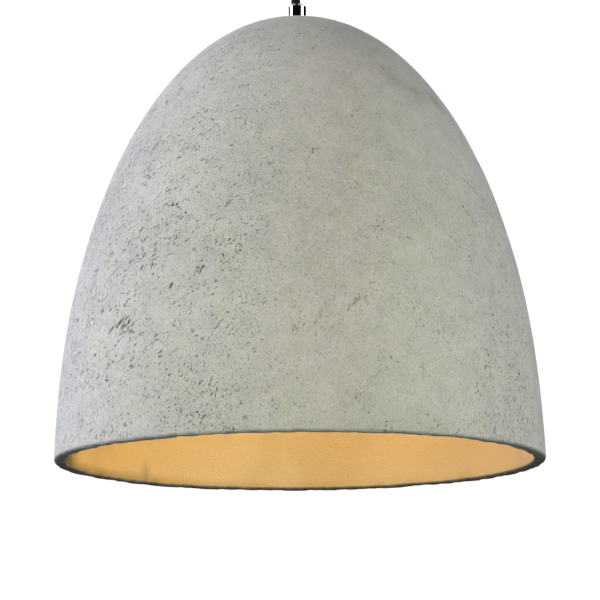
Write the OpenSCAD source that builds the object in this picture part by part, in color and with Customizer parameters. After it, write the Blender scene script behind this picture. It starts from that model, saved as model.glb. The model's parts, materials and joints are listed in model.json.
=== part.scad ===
// Pendant ceiling light: a cast concrete bell shade on a flex, with its ceiling rose,
// E27 lampholder and LED lamp bulb. Millimetres, +Z up. The origin is the middle of the
// bracket's top face, where it meets the ceiling, so the whole light hangs below Z = 0.

/* [Shade] */
// Outer diameter of the bell's body at the rim, without the flare
body_d = 397.4; // [300:0.2:500]
// Height of the bell from its rim to its crown
shade_h = 370; // [320:1:460]
// How much the rim flares outwards on each side
rim_flare = 1.3; // [0:0.1:3]
// Height over which the flare fades out
flare_h = 54; // [20:1:80]
// Thickness of the concrete at the rim
rim_wall = 10; // [7:0.5:14]
// Thickness of the concrete at the crown
crown_wall = 14; // [12:1:18]
// Roundness of the outline seen from above its middle, 2 is an ellipse
round_power = 2.1; // [1.8:0.05:2.6]
// Roundness of the outline towards the crown, 2 is an ellipse
rise_power = 1.91; // [1.7:0.01:2.4]

/* [Hanging] */
// Distance from the ceiling to the shade's crown
drop = 210; // [160:5:400]
// Diameter of the flex over its braid
cord_d = 7.5; // [6:0.5:8]
// Diameter of the chrome cord grip
grip_d = 15; // [14:0.5:20]
// Height of the chrome cord grip above the crown
grip_h = 12.5; // [12:0.5:20]
// Width of the chamfer round the top of the grip
grip_chamfer = 1.6; // [0.5:0.1:2]
// How far to one side the grip's screw pushes the flex
cord_push = 1.2; // [0:0.1:1.2]

/* [Ceiling rose] */
// Outer diameter of the cup
canopy_d = 100; // [96:1:120]
// Depth of the cup below the ceiling
canopy_h = 26; // [26:1:36]
// Distance between the two ceiling screws
slot_spacing = 50; // [46:1:56]
// Length of each slot for a ceiling screw
slot_l = 14; // [6:1:14]
// Width of each slot for a ceiling screw
slot_w = 5; // [4:0.5:6]

/* [Lamp bulb] */
// Largest diameter of the bulb
bulb_d = 60; // [50:1:70]
// Length of the bulb from its contact tip to the end of its dome
bulb_l = 110; // [100:1:125]

/* [Hidden] */
$fn = 64;

// ceiling rose
sheet = 1;
bracket_t = 2;
bracket_w = 20;
ear_x = 48;
ear_w = 16;
ear_h = 16;
cup_r = canopy_d / 2;
cup_gap = 0.5;
cup_round = 6;
side_screw_z = -10;
m4_r = 2;
m3_r = 1.5;
play = 0.05;
pole_pitch = 9;
pole_w = 8;
block_l = 16;
block_top = -bracket_t;
block_bottom = -13.5;
sleeve_r = 2.45;
sleeve_z = -8;
sleeve_l = 14;
wire_bore_r = 1.6;
wire_bore_l = 6.5;
block_screw_x = pole_pitch / 2;
pole_mouth = -block_l / 2 + 2.4;
earth_x = 38;

// outlet at the middle of the cup
neck_r = 5;
outlet_r = 4.3;
neck_top = -canopy_h + 4.7;
trumpet_r = 9;
trumpet_mouth_r = 7.3;
trumpet_l = 10;
pivot_z = -canopy_h - 2;
trumpet_z = -canopy_h - trumpet_l;

// flex: sheath radius, conductors, and where each stretch ends
cord_r = cord_d / 2;
wire_r = 1.1;
strand_r = 0.65;
gap = 0.35;
stub_top = -canopy_h + 3.6;
tail_top = -canopy_h + 9;
collar_low = neck_top + 0.1;
collar_top = tail_top - 0.4;

// crown and what is clamped to it
crown_z = -drop;
rim_z = crown_z - shade_h;
hole_r = 5.5;
nipple_r = 5;
nipple_bore_r = 4.25;
nipple_top = crown_z + 4;
sheath_end = crown_z - 12;
seat_r = 24;
seat_z = crown_z - crown_wall;
rubber_t = 2;
washer_t = 2;
lock_t = 1.4;
nut_t = 4;
nut_af = 14;
rubber_z = seat_z - rubber_t;
washer_z = rubber_z - washer_t;
lock_z = washer_z - lock_t;
nut_z = lock_z - nut_t;

// lampholder, measured down from the nut
cap_top = nut_z - 2;
boss_r = 8.5;
boss_h = 7;
cap_r = 21;
cap_t = 1.2;
plate_t = 1.6;
plate_z = cap_top - boss_h;
cap_bottom = plate_z - 15;
nipple_bottom = plate_z - plate_t - 1;
neck_in_cap = 5;
insert_r = 18.3;
insert_top = plate_z - 10.5;
insert_h = 11;
insert_bottom = insert_top - insert_h;
skirt_bottom = cap_bottom - 38;
skirt_end_r = 19.5;
sleeve_in_r = 13.7;
sleeve_out_r = 14.2;
terminal_x = 11;

// lamp bulb, measured down from its contact tip
tip_z = insert_bottom - 3.6;
e27_pitch = 3.629;
e27_crest_r = 13.1;
e27_root_r = 12.1;
bulb_cap_top = tip_z - 5;
bulb_cap_bottom = tip_z - 26.5;
thread_turns = 5;
bulb_r = bulb_d / 2;
housing_bottom = tip_z - 62;
dome_bottom = tip_z - bulb_l;
dome_wide_z = housing_bottom - 9;

// outline of the bell
body_r = body_d / 2;
edge_r = 2.5;
outline_steps = 34;
lining_h = shade_h - crown_wall + 2.6;

// flex route: how far it leans to the left, and its share of the way from the pivot
// down to the grip's mouth, then how far it leans and its height above the crown
free_route = [
    [0, 0], [0, 0.06], [0, 0.12], [-0.05, 0.2], [-0.15, 0.3], [-0.3, 0.4], [-0.45, 0.5],
    [-0.65, 0.6], [-0.85, 0.7], [-1, 0.8], [-1.15, 0.9], [-1.2, 1]
];
grip_route = [[-1.1, 10], [-0.75, 6.5], [-0.38, 3.5], [-0.12, 1], [0, -2], [0, -7], [0, -12]];
grip_mouth = crown_z + grip_h;
lean = cord_push / 1.2;

// ---- shared shapes ----

function unit(v) = v / norm(v);

function bezier(p, t) =
    p[0] * pow(1 - t, 3) + p[1] * 3 * t * pow(1 - t, 2)
    + p[2] * 3 * t * t * (1 - t) + p[3] * pow(t, 3);

// A tube along a list of points, with a radius at each; side is never along the tube
module swept_tube(points, radii, side = [1, 0, 0], sides = 8) {
    last = len(points) - 1;
    rings = [
        for (i = [0 : last])
            let (along = unit(points[min(i + 1, last)] - points[max(i - 1, 0)]),
                 u = unit(side - along * (side * along)),
                 v = cross(along, u))
                for (k = [0 : sides - 1])
                    points[i] + radii[i] * (cos(360 * k / sides) * u + sin(360 * k / sides) * v)
    ];
    walls = [
        for (i = [0 : last - 1], k = [0 : sides - 1])
            let (a = i * sides + k,
                 b = i * sides + (k + 1) % sides)
                each [[a, b + sides, b], [a, a + sides, b + sides]]
    ];
    start = [[for (k = [0 : sides - 1]) k]];
    finish = [[for (k = [sides - 1 : -1 : 0]) last * sides + k]];
    polyhedron(rings, concat(start, walls, finish), convexity = 6);
}

// A conductor on one bend, insulated up to where its bare end starts
module bent_wire(p, side = [1, 0, 0], bare_from = 0.86, steps = 16) {
    points = [for (i = [0 : steps]) bezier(p, i / steps)];
    radii = [for (i = [0 : steps]) i > steps * bare_from ? strand_r : wire_r];
    swept_tube(points, radii, side);
}

module ring(outer, inner, low, high) {
    translate([0, 0, low])
        difference() {
            cylinder(r = outer, h = high - low);
            translate([0, 0, -1])
                cylinder(r = inner, h = high - low + 2);
        }
}

// A round-headed screw that stands on z = 0 with its head above and its shaft below
module slotted_screw(shaft_r, shaft_l, head_r, head_h) {
    slot = head_h * 0.45;
    difference() {
        union() {
            translate([0, 0, -shaft_l])
                cylinder(r = shaft_r, h = shaft_l + head_h / 2);
            rotate_extrude()
                polygon([
                    [0, 0], [head_r, 0], [head_r, head_h * 0.45],
                    [head_r * 0.86, head_h * 0.82], [head_r * 0.6, head_h], [0, head_h]
                ]);
        }
        translate([-head_r - 1, -head_r * 0.13, head_h - slot])
            cube([2 * head_r + 2, head_r * 0.26, slot + 1]);
    }
}

// A headless screw from z = 0 upwards, with a hexagon socket in its top
module grub_screw(r, l) {
    difference() {
        cylinder(r = r, h = l);
        translate([0, 0, l * 0.55])
            cylinder(r = r * 0.5, h = l, $fn = 6);
    }
}

module hex_nut(across_flats, bore_r, low, high) {
    translate([0, 0, low])
        difference() {
            cylinder(d = across_flats / cos(30), h = high - low, $fn = 6);
            translate([0, 0, -1])
                cylinder(r = bore_r, h = high - low + 2);
        }
}

// ---- ceiling rose ----

module ceiling_bracket() {
    color("silver")
        difference() {
            union() {
                translate([-ear_x, -ear_w / 2, -bracket_t])
                    cube([2 * ear_x, ear_w, bracket_t]);
                translate([-earth_x + 2, -bracket_w / 2, -bracket_t])
                    cube([2 * earth_x - 4, bracket_w, bracket_t]);
                for (s = [-1, 1])
                    translate([s * (ear_x - bracket_t / 2), 0, -ear_h / 2])
                        cube([bracket_t, ear_w, ear_h], center = true);
            }
            for (s = [-1, 1]) {
                for (e = [-1, 1])
                    translate([s * slot_spacing / 2 + e * (slot_l - slot_w) / 2, 0, -bracket_t - 1])
                        cylinder(d = slot_w, h = bracket_t + 2);
                translate([s * slot_spacing / 2 - (slot_l - slot_w) / 2, -slot_w / 2, -bracket_t - 1])
                    cube([slot_l - slot_w, slot_w, bracket_t + 2]);
                translate([s * block_screw_x, 0, -bracket_t - 1])
                    cylinder(r = 1.25 + play, h = bracket_t + 2);
                translate([s * ear_x, 0, side_screw_z])
                    rotate([0, 90, 0])
                        cylinder(r = m4_r + play, h = 4 * bracket_t, center = true);
            }
            translate([earth_x, 0, -bracket_t - 1])
                cylinder(r = m4_r + play, h = bracket_t + 2);
        }
}

module canopy_cup() {
    color("lightgray")
        difference() {
            rotate_extrude()
                polygon(concat(
                    [[neck_r + 0.2, -canopy_h], [neck_r + 0.2, -canopy_h + sheet]],
                    [for (a = [-90 : 15 : 0])
                        [cup_r - cup_round + (cup_round - sheet) * cos(a),
                         -canopy_h + cup_round + (cup_round - sheet) * sin(a)]],
                    [[cup_r - sheet, -cup_gap], [cup_r, -cup_gap]],
                    [for (a = [0 : -15 : -90])
                        [cup_r - cup_round + cup_round * cos(a),
                         -canopy_h + cup_round + cup_round * sin(a)]]
                ));
            translate([0, 0, side_screw_z])
                rotate([0, 90, 0])
                    cylinder(r = m4_r + 0.2, h = canopy_d + 10, center = true);
        }
}

module canopy_screws() {
    color("white")
        for (s = [-1, 1])
            translate([s * (cup_r + 0.05), 0, side_screw_z])
                rotate([0, s * 90, 0])
                    slotted_screw(m4_r, 6.5, 3.6, 2.4);
}

module terminal_block() {
    height = block_top - block_bottom;
    color("ivory")
        difference() {
            union() {
                for (i = [-1, 0, 1])
                    translate([i * pole_pitch - pole_w / 2, -block_l / 2, block_bottom])
                        cube([pole_w, block_l, height]);
                translate([-pole_pitch - 1, -2.6, block_bottom + 3])
                    cube([2 * pole_pitch + 2, 5.2, height - 3]);
            }
            for (i = [-1, 0, 1]) {
                translate([i * pole_pitch, 0, sleeve_z])
                    rotate([90, 0, 0])
                        cylinder(r = sleeve_r + play, h = block_l + 2, center = true);
                for (s = [-1, 1])
                    translate([i * pole_pitch, s * 4, block_bottom - 1])
                        cylinder(r = 2, h = sleeve_z - block_bottom + 1);
            }
            for (s = [-1, 1])
                translate([s * block_screw_x, 0, block_bottom - 1]) {
                    cylinder(r = 1.25 + play, h = height + 2);
                    cylinder(r = 2, h = 4);
                }
        }
}

module terminal_sleeves() {
    color("gold")
        for (i = [-1, 0, 1])
            translate([i * pole_pitch, 0, sleeve_z])
                difference() {
                    rotate([90, 0, 0])
                        cylinder(r = sleeve_r, h = sleeve_l, center = true);
                    for (s = [-1, 1]) {
                        rotate([s * 90, 0, 0])
                            translate([0, 0, -sleeve_l / 2 - 1])
                                cylinder(r = wire_bore_r, h = wire_bore_l + 1);
                        translate([0, s * 4, -2 * sleeve_r])
                            cylinder(r = m3_r + play, h = 2 * sleeve_r);
                    }
                }
}

module terminal_screws() {
    color("silver")
        for (i = [-1, 0, 1], s = [-1, 1])
            translate([i * pole_pitch, s * 4, sleeve_z - wire_bore_r - 0.05])
                rotate([180, 0, 0])
                    grub_screw(m3_r, 3.4);
}

module block_screws() {
    color("silver")
        for (s = [-1, 1])
            translate([s * block_screw_x, 0, block_bottom + 3 - 0.02])
                rotate([180, 0, 0])
                    slotted_screw(1.25, -block_bottom - 3.2, 1.9, 1.4);
}

module earth_screw() {
    color("gold")
        translate([earth_x, 0, -bracket_t - 1.02])
            rotate([180, 0, 0])
                slotted_screw(m4_r, 2.9, 3.6, 2.2);
}

module earth_lug() {
    color("silver") {
        translate([earth_x, 0, 0])
            ring(3.8, m4_r + play, -bracket_t - 1, -bracket_t - 0.02);
        difference() {
            translate([earth_x - 8.5, -1.5, -bracket_t - 1])
                cube([6, 3, 0.98]);
            translate([earth_x, 0, -bracket_t - 2])
                cylinder(r = 3.7, h = 3);
        }
    }
}

module earth_link() {
    start = [earth_x - 8.6, 0, -bracket_t - 1.2 - wire_r];
    color("yellowgreen")
        bent_wire([start, [20, -14, -3], [1.6, -24, -6], [0.75, pole_mouth, sleeve_z]], side = [0, 0, 1]);
}

module canopy_gland() {
    color("dimgray")
        rotate_extrude()
            polygon([
                [outlet_r, neck_top], [neck_r - 0.4, neck_top], [neck_r, neck_top - 0.4],
                [neck_r, -canopy_h - 0.02], [trumpet_r, -canopy_h - 0.02],
                [trumpet_r, -canopy_h - 2.5], [trumpet_r - 0.8, -canopy_h - 3.3],
                [trumpet_r - 1, trumpet_z + 0.5], [trumpet_r - 1.4, trumpet_z],
                [trumpet_mouth_r, trumpet_z], [outlet_r, pivot_z]
            ]);
}

module gland_nut() {
    color("dimgray")
        hex_nut(14, neck_r + play, -canopy_h + sheet + 0.02, -canopy_h + sheet + 3.5);
}

module cord_collar() {
    screw_z = (collar_low + collar_top) / 2;
    color("ivory")
        difference() {
            ring(6.8, cord_r + 0.02, collar_low, collar_top);
            translate([4.8, 0, screw_z])
                rotate([90, 0, 0])
                    cylinder(r = 1.05, h = 20, center = true);
            translate([2.6, 4.85, collar_low - 1])
                cube([5, 3, 6]);
            translate([cord_r - 1, -0.5, collar_low - 1])
                cube([5, 1, 6]);
        }
}

module collar_screw() {
    color("silver")
        translate([4.8, 4.9, (collar_low + collar_top) / 2])
            rotate([-90, 0, 0])
                slotted_screw(1, 9.2, 1.8, 1.2);
}

module cord_tail() {
    color("black")
        translate([0, 0, stub_top + gap])
            cylinder(r = cord_r, h = tail_top - stub_top - gap);
}

// One conductor from the sheath's end, below and round to its pole of the terminal block
module supply_wire(from, spread, to_x, tone) {
    level = tail_top + wire_r + 0.05;
    turn = [[from[0], from[1], tail_top + 0.6], [from[0], from[1] - 0.3, tail_top + 0.95]];
    bend = [
        [from[0], from[1] - 1, level], [from[0], -13, level], [spread, -19, sleeve_z],
        [to_x, pole_mouth, sleeve_z]
    ];
    steps = 14;
    color(tone)
        swept_tube(
            concat(turn, [for (i = [0 : steps]) bezier(bend, i / steps)]),
            concat([wire_r, wire_r],
                   [for (i = [0 : steps]) i > steps * 0.86 ? strand_r : wire_r])
        );
}

module supply_live_wire() {
    supply_wire([-2.3, -0.6], -pole_pitch, -pole_pitch, "saddlebrown");
}

module supply_neutral_wire() {
    supply_wire([2.3, -0.6], pole_pitch, pole_pitch, "royalblue");
}

module supply_earth_wire() {
    supply_wire([0, 1.5], -2.4, -0.75, "yellowgreen");
}

// ---- flex ----

module cord_stub() {
    low = pivot_z + cord_r + gap;
    color("black")
        translate([0, 0, low])
            cylinder(r = cord_r, h = stub_top - low);
}

module cord() {
    round_end = [70, 45, 20];
    points = concat(
        [for (a = round_end) [0, 0, pivot_z + cord_r * sin(a)]],
        [for (p = free_route) [p[0] * lean, 0, pivot_z + (grip_mouth - pivot_z) * p[1]]],
        [for (p = grip_route) [p[0] * lean, 0, crown_z + p[1]]]
    );
    radii = concat(
        [for (a = round_end) cord_r * cos(a)],
        [for (p = free_route) cord_r],
        [for (p = grip_route) cord_r]
    );
    color("black")
        swept_tube(points, radii, sides = 12);
}

module cord_grip() {
    r = grip_d / 2;
    color("white")
        difference() {
            translate([0, 0, crown_z])
                rotate_extrude()
                    polygon([
                        [nipple_r + play, 0.02], [r - 0.3, 0.02], [r, 0.32],
                        [r, grip_h - grip_chamfer], [r - grip_chamfer, grip_h],
                        [nipple_r + 0.7, grip_h], [nipple_r + 0.2, grip_h - 0.5],
                        [nipple_r + 0.2, 5], [nipple_r + play, 5]
                    ]);
            translate([0, 0, crown_z + 8.5])
                rotate([0, 90, 40])
                    cylinder(r = m3_r + play, h = grip_d);
        }
}

module grip_screw() {
    color("silver")
        translate([0, 0, crown_z + 8.5])
            rotate([0, 90, 40])
                translate([0, 0, 3.1])
                    grub_screw(m3_r, grip_d / 2 - 3.3);
}

// ---- crown ----

module nipple() {
    color("silver")
        ring(nipple_r, nipple_bore_r, nipple_bottom, nipple_top);
}

// A bell outline from its edge at the rim up to its crown, as [radius, height] points
function outline(r, h, low, end_r, flare) =
    let (first = asin(pow(low / h, rise_power / 2)),
         last = acos(pow(end_r / r, round_power / 2)))
        [for (i = [0 : outline_steps])
            let (t = first + (last - first) * i / outline_steps,
                 z = h * pow(sin(t), 2 / rise_power))
                [r * pow(cos(t), 2 / round_power) + flare * pow(max(0, 1 - z / flare_h), 2), z]];

module shade() {
    outside = outline(body_r, shade_h, edge_r, 9, rim_flare);
    inside = outline(body_r - rim_wall + rim_flare, lining_h, edge_r, seat_r, 0);
    outer_edge = outside[0][0] - edge_r;
    inner_edge = inside[0][0] + edge_r;
    color("darkgray")
        translate([0, 0, rim_z])
            rotate_extrude($fn = 128)
                polygon(concat(
                    [[hole_r, shade_h - crown_wall], [hole_r, shade_h]],
                    [for (i = [outline_steps : -1 : 1]) outside[i]],
                    [for (a = [0 : -15 : -90])
                        [outer_edge + edge_r * cos(a), edge_r + edge_r * sin(a)]],
                    [for (a = [-90 : -15 : -180])
                        [inner_edge + edge_r * cos(a), edge_r + edge_r * sin(a)]],
                    [for (i = [1 : outline_steps - 1]) inside[i]],
                    [[seat_r, shade_h - crown_wall]]
                ));
}

module rubber_washer() {
    color("dimgray")
        ring(21, nipple_r + 0.4, rubber_z, seat_z - 0.02);
}

module steel_washer() {
    color("silver")
        ring(20, nipple_r + 0.3, washer_z, rubber_z - 0.02);
}

// A ring with teeth round its rim
module lock_washer() {
    teeth = 12;
    color("silver")
        difference() {
            ring(9, nipple_r + 0.2, lock_z, washer_z - 0.02);
            for (i = [0 : teeth - 1])
                rotate([0, 0, 360 * i / teeth])
                    translate([9, 0, lock_z - 1])
                        cylinder(r = 1.1, h = lock_t + 2, $fn = 24);
        }
}

module nipple_nut() {
    color("silver")
        hex_nut(nut_af, nipple_r + play, nut_z, lock_z - 0.02);
}

// ---- lampholder ----

module holder_cap() {
    corner = 4;
    color("black")
        difference() {
            rotate_extrude()
                polygon(concat(
                    [[nipple_r + play, plate_z - plate_t], [nipple_r + play, cap_top],
                     [boss_r - 0.6, cap_top], [boss_r, cap_top - 0.6], [boss_r, plate_z]],
                    [for (a = [90 : -15 : 0])
                        [cap_r - corner + corner * cos(a), plate_z - corner + corner * sin(a)]],
                    [[cap_r, cap_bottom], [cap_r - cap_t, cap_bottom]],
                    [for (a = [0 : 15 : 90])
                        [cap_r - corner + (corner - cap_t) * cos(a),
                         plate_z - corner - plate_t + cap_t + (corner - cap_t) * sin(a)]]
                ));
            translate([0, 0, cap_top - 3.5])
                rotate([0, 90, 90])
                    cylinder(r = m3_r + play, h = boss_r + 2);
            translate([0, 12, plate_z - 2 * plate_t])
                cylinder(r = m3_r + play, h = 3 * plate_t);
        }
}

module cap_grub_screw() {
    color("silver")
        translate([0, 0, cap_top - 3.5])
            rotate([0, 90, 90])
                translate([0, 0, nipple_r + 0.05])
                    grub_screw(m3_r, boss_r - nipple_r - 0.3);
}

module holder_earth_screw() {
    color("gold")
        translate([0, 12, plate_z - plate_t - 0.02])
            rotate([180, 0, 0])
                slotted_screw(m3_r, plate_t + 0.4, 2.8, 2);
}

module holder_insert() {
    collar_h = 6.38;
    color("white") {
        difference() {
            translate([0, 0, insert_bottom + 0.02])
                union() {
                    cylinder(r = insert_r, h = insert_h - 3);
                    cylinder(r = insert_r - 3, h = insert_h - 1);
                    translate([-insert_r + 4, -4, 0])
                        cube([2 * insert_r - 8, 8, insert_h]);
                }
            translate([0, 0, insert_bottom - 1])
                cylinder(r = 1.55, h = insert_h + 3);
            for (s = [-1, 1])
                translate([s * terminal_x, 0, insert_bottom + 4]) {
                    translate([-3.55, -2.8, 0])
                        cube([7.1, 5.6, insert_h]);
                    translate([-1.6, -5, 6])
                        cube([3.2, 4, insert_h]);
                }
        }
        ring(16.8, 15.2, insert_bottom - collar_h, insert_bottom + 0.1);
    }
}

module holder_terminals() {
    color("gold")
        for (s = [-1, 1])
            translate([s * terminal_x, 0, insert_bottom + 4.05])
                difference() {
                    translate([-3.5, -2.75, 0])
                        cube([7, 5.5, 9]);
                    translate([0, 0, 4.5])
                        cylinder(r = 1.3, h = 10);
                    translate([0, 0, 7.6])
                        rotate([90, 0, 0])
                            cylinder(r = 1.25 + play, h = 10);
                }
}

module holder_terminal_screws() {
    color("silver")
        for (s = [-1, 1])
            translate([s * terminal_x, -2.8, insert_bottom + 11.65])
                rotate([90, 0, 0])
                    slotted_screw(1.25, 1.8, 1.4, 1.2);
}

// A leaf spring under the insert, bowed down in the middle to meet the bulb
module centre_contact() {
    color("gold") {
        translate([0, 0, insert_bottom - 0.42])
            cylinder(r = 1.5, h = insert_h - 2);
        translate([0, 3, 0])
            rotate([90, 0, 0])
                linear_extrude(6)
                    polygon([
                        [-8, insert_bottom - 0.02], [-3, insert_bottom - 0.02],
                        [3, insert_bottom - 0.02], [3, insert_bottom - 0.42],
                        [-3, insert_bottom - 0.42], [-2.4, insert_bottom - 2.8],
                        [2.4, insert_bottom - 2.8], [2.4, insert_bottom - 3.2],
                        [-2.8, insert_bottom - 3.2], [-3.5, insert_bottom - 0.42],
                        [-8, insert_bottom - 0.42]
                    ]);
    }
}

// A strip beside the bulb's cap that carries the neutral down to the brass sleeve
module side_contact() {
    width = 5;
    color("gold")
        translate([0, width / 2, insert_bottom])
            rotate([90, 0, 0])
                linear_extrude(width)
                    polygon([
                        [9.5, -0.02], [14.9, -0.02], [14.9, -6.36], [13.8, -6.36],
                        [13.8, -5.96], [14.5, -5.96], [14.5, -0.42], [9.5, -0.42]
                    ]);
}

module thread_sleeve() {
    top = insert_bottom - 6.4;
    low = skirt_bottom + 3.2;
    color("gold")
        rotate_extrude()
            polygon([
                [sleeve_in_r, top], [sleeve_out_r + 1.9, top], [sleeve_out_r + 1.9, top - 0.6],
                [sleeve_out_r, top - 0.6], [sleeve_out_r, low + 0.8], [sleeve_out_r + 0.6, low + 0.3],
                [sleeve_out_r + 0.1, low], [sleeve_in_r, low + 0.6]
            ]);
}

module holder_skirt() {
    neck = cap_r - cap_t - 0.1;
    inner = insert_r + 0.1;
    color("black")
        rotate_extrude()
            polygon([
                [inner, cap_bottom + neck_in_cap], [neck, cap_bottom + neck_in_cap],
                [neck, cap_bottom - 0.02], [cap_r, cap_bottom - 0.02],
                [cap_r, cap_bottom - 9], [cap_r - 0.5, cap_bottom - 9.5],
                [skirt_end_r, skirt_bottom + 1], [skirt_end_r - 0.8, skirt_bottom],
                [skirt_end_r - 1.8, skirt_bottom], [skirt_end_r - 1.8, skirt_bottom + 10],
                [17, cap_bottom - 12], [17, insert_bottom], [inner, insert_bottom]
            ]);
}

// One conductor from the sheath's end, down the nipple to its terminal
module holder_wire(start, finish, tone) {
    below = nipple_bottom;
    color(tone)
        swept_tube(
            concat(
                [[start[0], start[1], sheath_end - 0.05], [start[0], start[1], below + 2]],
                [for (i = [0 : 8])
                    bezier([[start[0], start[1], below], [start[0], start[1], below - 3.4],
                            finish + [0, 0, 10], finish], i / 8)]
            ),
            concat([for (i = [0 : 8]) wire_r], [strand_r, strand_r]),
            side = [0, 1, 0]
        );
}

module live_wire() {
    holder_wire([-2, -1.1, 0], [-terminal_x, 0, insert_bottom + 10], "saddlebrown");
}

module neutral_wire() {
    holder_wire([2, -1.1, 0], [terminal_x, 0, insert_bottom + 10], "royalblue");
}

module earth_wire() {
    below = nipple_bottom;
    color("yellowgreen")
        swept_tube(
            concat(
                [[0, 2.1, sheath_end - 0.05], [0, 2.1, below + 2]],
                [for (i = [0 : 8])
                    bezier([[0, 2.1, below], [0, 2.1, below - 4.5], [0, 8, below - 4.5],
                            [0, 9.4, below - 2.6]], i / 8)]
            ),
            [for (i = [0 : 10]) wire_r]
        );
}

// ---- lamp bulb ----

module bulb_contact() {
    color("silver")
        translate([0, 0, tip_z])
            rotate_extrude()
                polygon([
                    [0, 0], [2.2, -0.15], [3.8, -0.7], [4.6, -1.6], [4.6, -1.98], [0, -1.98]
                ]);
}

module bulb_insulator() {
    color("black")
        translate([0, 0, tip_z])
            rotate_extrude()
                polygon([
                    [0, -2.3], [5, -2.3], [6.4, -2.9], [8.6, -4.4], [9.2, -5.2], [9.2, -6.4],
                    [0, -6.4]
                ]);
}

// Thin shell with rolled thread ridges, drawn as rings
module bulb_cap() {
    steps = 8;
    thread_top = bulb_cap_top - 1.6;
    wall = 0.35;
    mid_r = (e27_crest_r + e27_root_r) / 2;
    wave = (e27_crest_r - e27_root_r) / 2;
    ridges = [
        for (i = [0 : thread_turns * steps])
            [mid_r + wave * cos(360 * i / steps + 180), thread_top - i * e27_pitch / steps]
    ];
    color("silver")
        rotate_extrude()
            polygon(concat(
                [[9.25, bulb_cap_top + 0.4], [10.8, bulb_cap_top + 0.1], [11.8, bulb_cap_top - 0.6]],
                ridges,
                [[13.4, bulb_cap_bottom + 1.5], [13.4, bulb_cap_bottom],
                 [13.4 - wall, bulb_cap_bottom], [13.4 - wall, bulb_cap_bottom + 1.4]],
                [for (i = [len(ridges) - 1 : -1 : 0]) ridges[i] - [wall, 0]],
                [[11.5, bulb_cap_top - 0.8], [10.7, bulb_cap_top - 0.25], [9.25, bulb_cap_top]]
            ));
}

module bulb_housing() {
    wall = 1.4;
    neck = 11.6;
    color("white")
        rotate_extrude()
            polygon([
                [neck, bulb_cap_top - 6], [neck, bulb_cap_bottom - 0.05],
                [14.2, bulb_cap_bottom - 0.05], [15, bulb_cap_bottom - 1],
                [17.5, bulb_cap_bottom - 12], [22.5, bulb_cap_bottom - 24],
                [bulb_r - 1.2, housing_bottom + 1], [bulb_r - 1.2, housing_bottom],
                [bulb_r - 2.4 - wall, housing_bottom], [bulb_r - 2.4 - wall, housing_bottom + 1],
                [22.5 - wall, bulb_cap_bottom - 22.8], [17.5 - wall, bulb_cap_bottom - 11],
                [neck - wall + 0.6, bulb_cap_bottom - 1.4], [neck - wall, bulb_cap_top - 6]
            ]);
}

module bulb_led_board() {
    color("whitesmoke")
        difference() {
            translate([0, 0, housing_bottom + 0.3])
                cylinder(r = bulb_r - 4.2, h = 1.6);
            translate([0, 0, housing_bottom - 1])
                cylinder(r = 2.5, h = 4);
        }
}

module bulb_leds() {
    count = 12;
    side = 3;
    color("gold")
        for (i = [0 : count - 1])
            rotate([0, 0, 360 * i / count])
                translate([17 - side / 2, -side / 2, housing_bottom - 0.55])
                    cube([side, side, 0.83]);
}

module bulb_driver() {
    board_top = bulb_cap_top - 8;
    board_low = housing_bottom + 6;
    color("seagreen")
        translate([-0.7, -8, board_low])
            cube([1.4, 16, board_top - board_low]);
    color("midnightblue") {
        translate([4.75, 0, board_low + 9])
            cylinder(r = 4, h = 13);
        translate([-6.6, -5, board_low + 4])
            cube([5.87, 10, 9]);
    }
}

// Opal dome: a thin shell whose outline is two arcs
module bulb_diffuser() {
    wall = 1;
    drop_l = dome_wide_z - dome_bottom;
    steps = 14;
    color("moccasin")
        rotate_extrude()
            polygon(concat(
                [[bulb_r - 1.1, housing_bottom - 0.05]],
                [for (i = [0 : steps])
                    [bulb_r * cos(90 * i / steps), dome_wide_z - drop_l * sin(90 * i / steps)]],
                [for (i = [steps : -1 : 0])
                    [(bulb_r - wall) * cos(90 * i / steps),
                     dome_wide_z - (drop_l - wall) * sin(90 * i / steps)]],
                [[bulb_r - 1.1 - wall, housing_bottom - 0.05]]
            ));
}

// ---- drawing ----

ceiling_bracket();
canopy_cup();
canopy_screws();
terminal_block();
terminal_sleeves();
terminal_screws();
block_screws();
earth_screw();
earth_lug();
earth_link();
canopy_gland();
gland_nut();
cord_collar();
collar_screw();
cord_tail();
supply_live_wire();
supply_neutral_wire();
supply_earth_wire();
cord_stub();
cord();
cord_grip();
grip_screw();
nipple();
shade();
rubber_washer();
steel_washer();
lock_washer();
nipple_nut();
holder_cap();
cap_grub_screw();
holder_earth_screw();
holder_insert();
holder_terminals();
holder_terminal_screws();
centre_contact();
side_contact();
thread_sleeve();
holder_skirt();
live_wire();
neutral_wire();
earth_wire();
bulb_contact();
bulb_insulator();
bulb_cap();
bulb_housing();
bulb_led_board();
bulb_leds();
bulb_driver();
bulb_diffuser();
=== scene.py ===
"""The looks of the pendant light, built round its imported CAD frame.

Metres, +Z up, in the frame of the CAD: the ceiling is at Z = 0, the light hangs below it, and
the camera looks along +Y. Sizes in millimetres are multiplied by MM, or said to be in mm.
"""
import json
import math
import random

import bmesh
import bpy
import numpy as np
from mathutils import Matrix, Vector, kdtree, noise


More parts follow.
